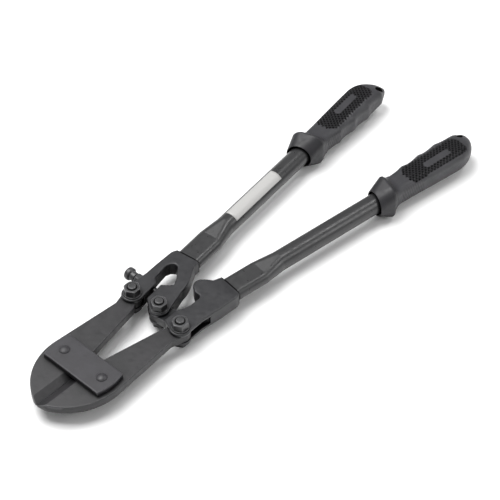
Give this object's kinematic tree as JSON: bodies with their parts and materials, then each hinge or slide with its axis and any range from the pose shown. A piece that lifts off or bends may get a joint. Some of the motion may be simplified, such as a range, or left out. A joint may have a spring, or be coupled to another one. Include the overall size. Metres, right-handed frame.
{
  "type": "bolt cutters",
  "caption": "Long-handled centre-cut bolt cutters: jaws riveted between side plates, forged heads on a shared centre bolt, tubular handles with moulded grips and an adjusting screw.",
  "frame": {"origin": "middle of the overall length and width, on the flat floor that the two grip collars stand on when the jaws' mid-plane is level", "axes": "+X from the jaw tips to the grips, +Y to the handle with the loop head and adjusting screw, +Z along the pivot bolts from their heads to their nuts"},
  "size_m": [0.6432, 0.1846, 0.047],
  "materials": {
    "plate": "satin black, hard-wearing oxide coat",
    "jaw": "satin black on forged steel",
    "forging": "satin black on forged steel",
    "fastener": "black oxide",
    "tube": "semi-gloss dark grey paint",
    "grip": "moulded black soft plastic, ribbed and dimpled"
  },
  "bodies": {
    "side_plates": {"top_side_plate": "plate", "bottom_side_plate": "plate", "left_plate_rivet": "plate", "right_plate_rivet": "plate"},
    "left_jaw": {"left_jaw": "jaw"},
    "right_jaw": {"right_jaw": "jaw"},
    "left_handle": {"left_handle_head": "forging", "left_handle_tube": "tube", "left_grip": "grip", "left_jaw_bolt": "fastener", "left_jaw_washer": "fastener", "left_jaw_nut": "fastener", "centre_pivot_bolt": "fastener", "centre_pivot_washer": "fastener", "centre_pivot_nut": "fastener", "adjusting_lock_nut": "fastener"},
    "right_handle": {"right_handle_head": "forging", "right_handle_tube": "tube", "right_grip": "grip", "right_jaw_bolt": "fastener", "right_jaw_washer": "fastener", "right_jaw_nut": "fastener"},
    "adjusting_screw": {"adjusting_screw": "fastener"}
  },
  "joints": [
    {"name": "left_jaw_turn", "type": "hinge", "parent": "side_plates", "child": "left_jaw", "pos_m": [-0.25355, 0.029, 0.0235], "axis": [0, 0, 1], "range_deg": [-8.5, 0]},
    {"name": "right_jaw_turn", "type": "hinge", "parent": "side_plates", "child": "right_jaw", "pos_m": [-0.25355, -0.029, 0.0235], "axis": [0, 0, 1], "range_deg": [0, 8.5]},
    {"name": "left_handle_turn", "type": "hinge", "parent": "left_jaw", "child": "left_handle", "pos_m": [-0.14335, 0.0375, 0.0235], "axis": [0, 0, 1], "range_deg": [0, 58.5]},
    {"name": "right_handle_turn", "type": "hinge", "parent": "right_jaw", "child": "right_handle", "pos_m": [-0.14335, -0.0375, 0.0235], "axis": [0, 0, 1], "range_deg": [-58.5, 0]},
    {"name": "adjusting_screw_turn", "type": "hinge", "parent": "left_handle", "child": "adjusting_screw", "pos_m": [-0.11855, 0.06, 0.0235], "axis": [0, 1, 0], "range_deg": [-180, 180]}
  ],
  "couplings": [
    {"joint": "right_handle_turn", "follows": "left_handle_turn", "ratio": -1},
    {"joint": "left_jaw_turn", "follows": "left_handle_turn", "ratio": -0.1453},
    {"joint": "right_jaw_turn", "follows": "left_handle_turn", "ratio": 0.1453}
  ]
}
